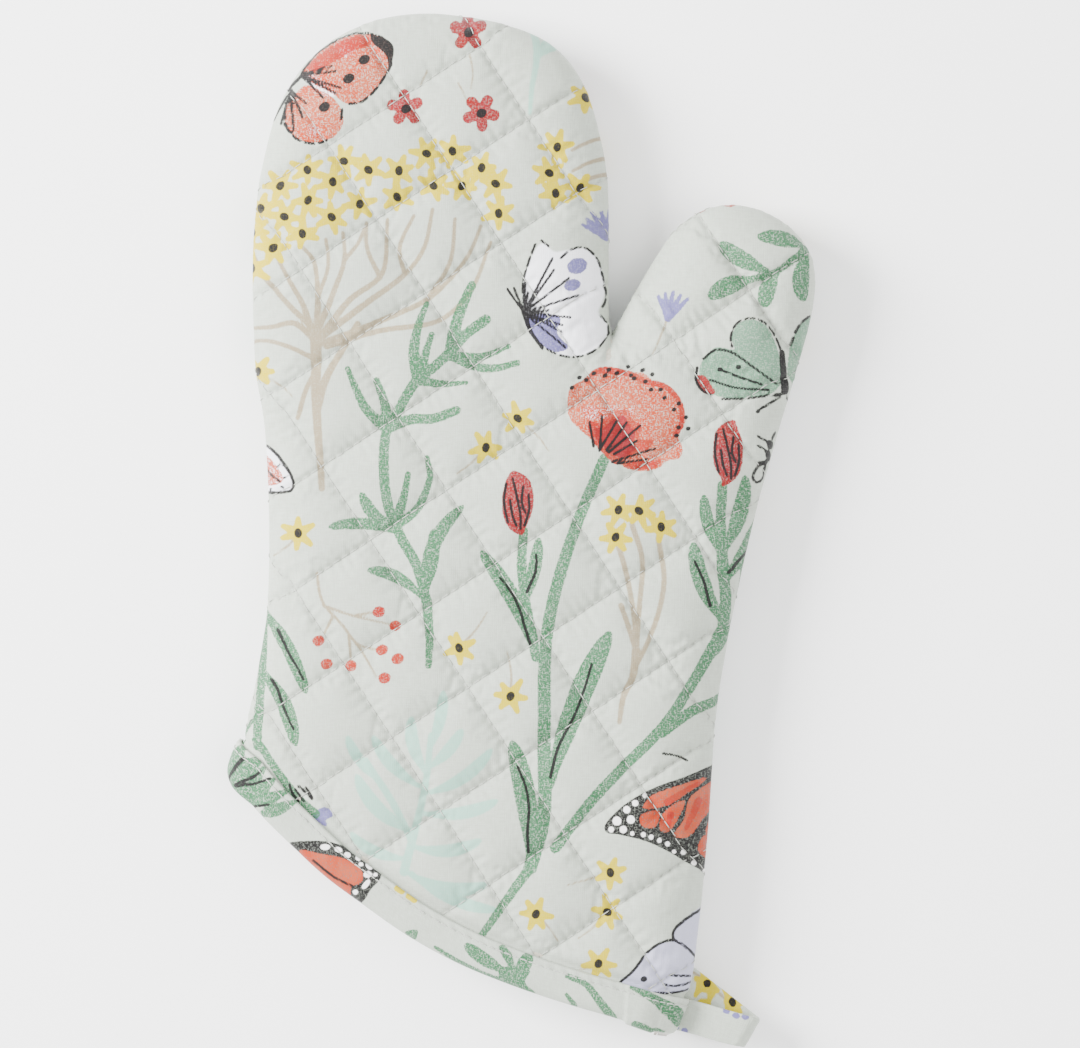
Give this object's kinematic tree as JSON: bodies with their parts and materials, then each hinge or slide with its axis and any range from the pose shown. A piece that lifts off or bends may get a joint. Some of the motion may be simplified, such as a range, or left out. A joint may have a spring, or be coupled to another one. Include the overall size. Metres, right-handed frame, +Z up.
{
  "type": "oven mitt",
  "caption": "Quilted fabric oven mitt with a separate thumb, a bound slanted cuff and a short hanging loop, lying flat.",
  "frame": {"origin": "middle of the bounding box's footprint, at table height", "axes": "+X across the palm towards the thumb, +Y from the cuff to the fingertips, +Z up out of the table"},
  "size_m": [0.1824, 0.3178, 0.0296],
  "materials": {
    "printed_cotton": "plain woven cotton, pale sage ground with a printed meadow of flowers and butterflies",
    "wadding": "bonded polyester wadding",
    "lining": "plain woven unbleached cotton",
    "thread": "white spun sewing thread"
  },
  "bodies": {
    "hand": {"front_shell_hand": "printed_cotton", "front_wadding_hand": "wadding", "front_lining_hand": "lining", "front_quilting_hand": "thread", "back_shell_hand": "printed_cotton", "back_wadding_hand": "wadding", "back_lining_hand": "lining", "back_quilting_hand": "thread", "side_seam_left": "thread", "side_seam_right": "thread", "side_seam_crotch": "thread", "cuff_binding": "printed_cotton", "binding_topstitch": "thread"},
    "fingers": {"front_shell_fingers": "printed_cotton", "front_wadding_fingers": "wadding", "front_lining_fingers": "lining", "front_quilting_fingers": "thread", "back_shell_fingers": "printed_cotton", "back_wadding_fingers": "wadding", "back_lining_fingers": "lining", "back_quilting_fingers": "thread", "side_seam_fingers": "thread"},
    "thumb": {"front_shell_thumb": "printed_cotton", "front_wadding_thumb": "wadding", "front_lining_thumb": "lining", "front_quilting_thumb": "thread", "back_shell_thumb": "printed_cotton", "back_wadding_thumb": "wadding", "back_lining_thumb": "lining", "back_quilting_thumb": "thread", "side_seam_thumb": "thread"},
    "loop": {"hanging_loop": "printed_cotton"}
  },
  "joints": [
    {"name": "finger_fold", "type": "hinge", "parent": "hand", "child": "fingers", "pos_m": [-0.02821, 0.07874, 0.0297], "axis": [1, 0, 0], "range_deg": [0, 80]},
    {"name": "thumb_fold", "type": "hinge", "parent": "hand", "child": "thumb", "pos_m": [0.06179, 0.06464, 0.0282], "axis": [0.939, -0.344, 0], "range_deg": [0, 70]},
    {"name": "loop_fold", "type": "hinge", "parent": "hand", "child": "loop", "pos_m": [0.05389, -0.14661, 0.0139], "axis": [-0.11, -0.9939, 0], "range_deg": [0, 90]}
  ]
}
